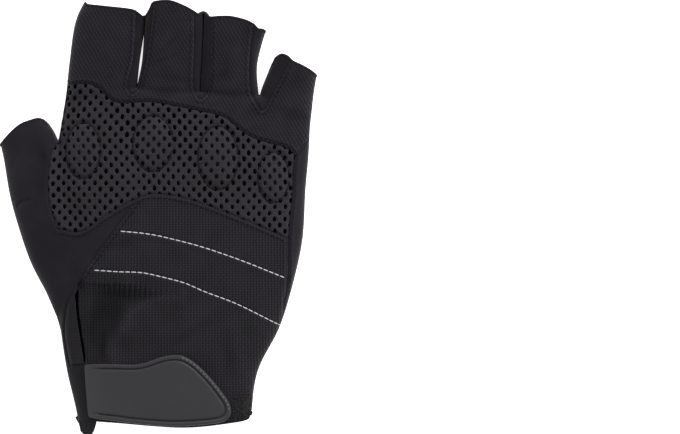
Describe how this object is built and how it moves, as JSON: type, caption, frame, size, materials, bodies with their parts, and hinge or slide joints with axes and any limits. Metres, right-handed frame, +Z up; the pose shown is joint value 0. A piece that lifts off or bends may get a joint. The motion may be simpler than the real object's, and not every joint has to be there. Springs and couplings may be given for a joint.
{
  "type": "cycling glove",
  "caption": "Fingerless right-hand cycling mitt with open knuckle net, padded palm, closing wrist strap and pull tab.",
  "frame": {"origin": "centre of the mitt's outline seen from above, on the surface that it rests on", "axes": "+Z up out of the back of the hand, +Y from the wrist to the fingers, the thumb on the -X side"},
  "size_m": [0.1238, 0.1684, 0.0193],
  "materials": {
    "finger_knit": "fine diagonal knit, matt",
    "net_cloth": "open net, matt",
    "pad_foam": "foam behind the net",
    "back_mesh": "ribbed mesh knit, matt",
    "smooth_cloth": "smooth stretch cloth, matt",
    "wall_cloth": "smooth cloth, matt",
    "palm_suede": "synthetic suede",
    "binding": "folded edge binding",
    "loop_cloth": "fuzzy loop pile",
    "strap_rubber": "smooth, satin",
    "silver_print": "silver coating, satin",
    "tab_webbing": "grey woven tape"
  },
  "bodies": {
    "root": {"finger_back": "finger_knit", "knuckle_net": "net_cloth", "knuckle_pad_index": "pad_foam", "knuckle_pad_middle": "pad_foam", "knuckle_pad_ring": "pad_foam", "knuckle_pad_little": "pad_foam", "hand_back": "back_mesh", "thumb_side": "smooth_cloth", "side_strip": "smooth_cloth", "fourchette_index_middle": "wall_cloth", "fourchette_middle_ring": "wall_cloth", "fourchette_ring_little": "wall_cloth", "palm": "palm_suede", "heel_pad": "palm_suede", "slit_binding": "binding", "loop_patch": "loop_cloth", "wrist_strap": "strap_rubber", "palm_stripe": "silver_print", "pull_tab": "tab_webbing"}
  },
  "joints": []
}
